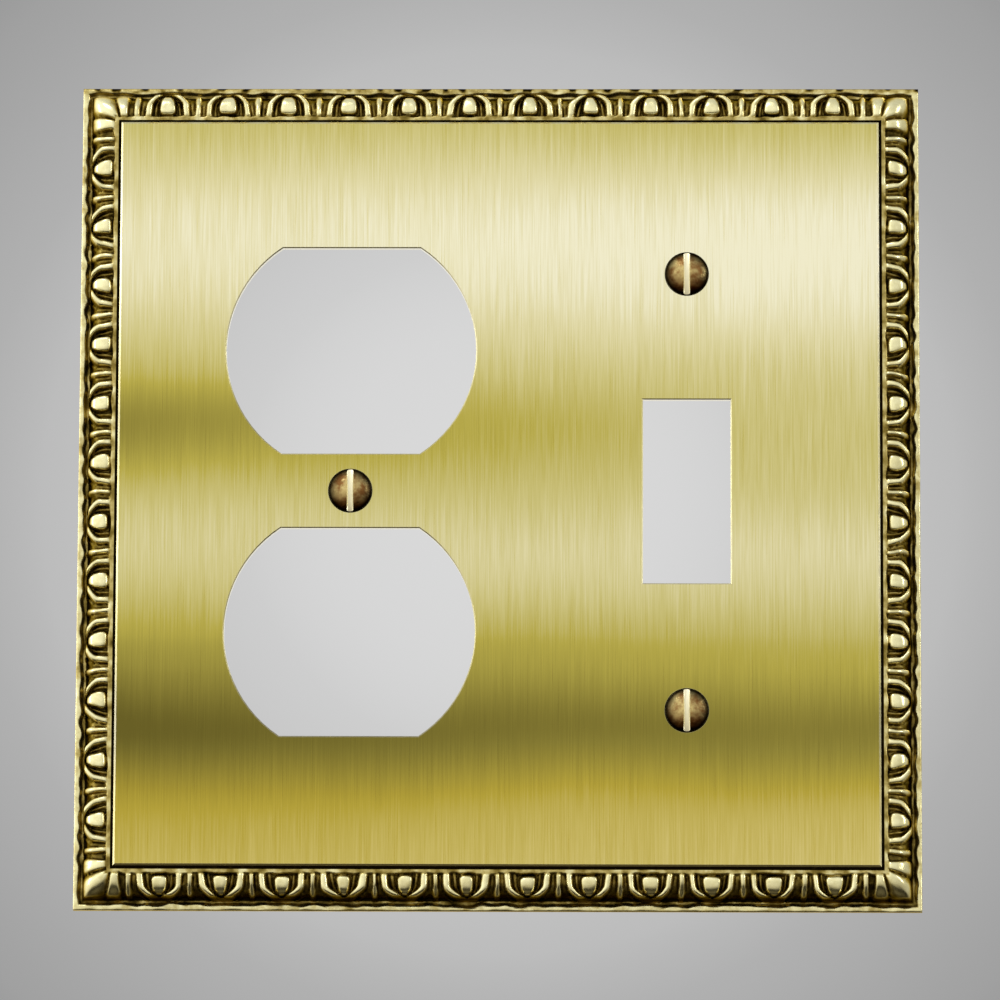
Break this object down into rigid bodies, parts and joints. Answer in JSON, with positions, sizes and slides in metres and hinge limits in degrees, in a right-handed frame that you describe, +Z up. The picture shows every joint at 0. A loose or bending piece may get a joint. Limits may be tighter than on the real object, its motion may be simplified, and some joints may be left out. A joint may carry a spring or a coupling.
{
  "type": "wall plate cover",
  "caption": "Square two-gang wall plate with a carved border, two receptacle openings, a toggle switch slot and captive cover screws.",
  "frame": {"origin": "centre of the plate's outline on the wall plane, which is the plane of the border's back rim", "axes": "+Z up, +X to the right for someone facing the plate, -Y out of the wall towards them"},
  "size_m": [0.1158, 0.0138, 0.1142],
  "materials": {
    "antique_brass": "cast moulding, dark in the recesses and rubbed bright on the high points",
    "brushed_brass": "satin, brushed from top to bottom, clear lacquer",
    "aged_brass_screw": "antique brass plating, browner than the plate, with bright edges",
    "washer_fibre": "vulcanised fibre, matt",
    "solder": "dull soft solder"
  },
  "bodies": {
    "plate": {"border_frame": "antique_brass", "face_panel": "brushed_brass", "solder_tacks": "solder"},
    "duplex_screw_washer": {"duplex_screw_washer": "washer_fibre"},
    "duplex_screw": {"duplex_screw": "aged_brass_screw"},
    "toggle_upper_screw_washer": {"toggle_upper_screw_washer": "washer_fibre"},
    "toggle_upper_screw": {"toggle_upper_screw": "aged_brass_screw"},
    "toggle_lower_screw_washer": {"toggle_lower_screw_washer": "washer_fibre"},
    "toggle_lower_screw": {"toggle_lower_screw": "aged_brass_screw"}
  },
  "joints": [
    {"name": "duplex_screw_travel", "type": "slide", "parent": "plate", "child": "duplex_screw_washer", "axis": [0, -1, 0], "range_m": [0, 0.00396]},
    {"name": "duplex_screw_turn", "type": "hinge", "parent": "duplex_screw_washer", "child": "duplex_screw", "pos_m": [-0.02025, 0, 0], "axis": [0, -1, 0], "range_deg": [0, 1800]},
    {"name": "toggle_upper_screw_travel", "type": "slide", "parent": "plate", "child": "toggle_upper_screw_washer", "axis": [0, -1, 0], "range_m": [0, 0.00396]},
    {"name": "toggle_upper_screw_turn", "type": "hinge", "parent": "toggle_upper_screw_washer", "child": "toggle_upper_screw", "pos_m": [0.02579, 0, 0.03016], "axis": [0, -1, 0], "range_deg": [0, 1800]},
    {"name": "toggle_lower_screw_travel", "type": "slide", "parent": "plate", "child": "toggle_lower_screw_washer", "axis": [0, -1, 0], "range_m": [0, 0.00396]},
    {"name": "toggle_lower_screw_turn", "type": "hinge", "parent": "toggle_lower_screw_washer", "child": "toggle_lower_screw", "pos_m": [0.02579, 0, -0.03016], "axis": [0, -1, 0], "range_deg": [0, 1800]}
  ],
  "couplings": [
    {"joint": "duplex_screw_turn", "follows": "duplex_screw_travel", "rad_per_m": 7915.8},
    {"joint": "toggle_upper_screw_turn", "follows": "toggle_upper_screw_travel", "rad_per_m": 7915.8},
    {"joint": "toggle_lower_screw_turn", "follows": "toggle_lower_screw_travel", "rad_per_m": 7915.8}
  ]
}
